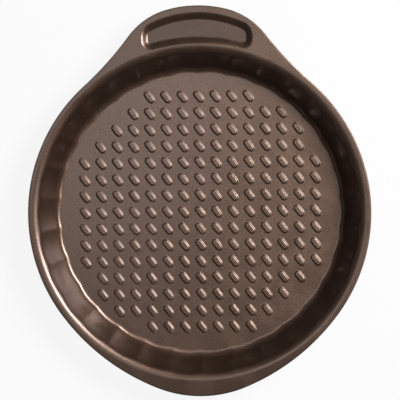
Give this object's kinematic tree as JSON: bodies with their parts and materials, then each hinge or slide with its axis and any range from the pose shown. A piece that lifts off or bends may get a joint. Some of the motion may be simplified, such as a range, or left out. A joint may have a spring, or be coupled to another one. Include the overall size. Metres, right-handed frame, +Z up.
{
  "type": "tart tin",
  "caption": "One-piece non-stick tart tin with a fluted wall, a studded floor, a flange with a broad thumb-recess handle and a small tab opposite.",
  "frame": {"origin": "centre of the tin's round floor, on the underside that it rests on", "axes": "+Z up out of the open mouth, +Y along the floor towards the broad handle with the thumb recess, -Y towards the small tab, +X to the right seen from above with the handle away from the viewer"},
  "size_m": [0.286, 0.3256, 0.033],
  "materials": {
    "non_stick": "satin dark brown non-stick coating with a fine grain, over thin steel sheet"
  },
  "bodies": {
    "root": {"tart_tin": "non_stick"}
  },
  "joints": []
}
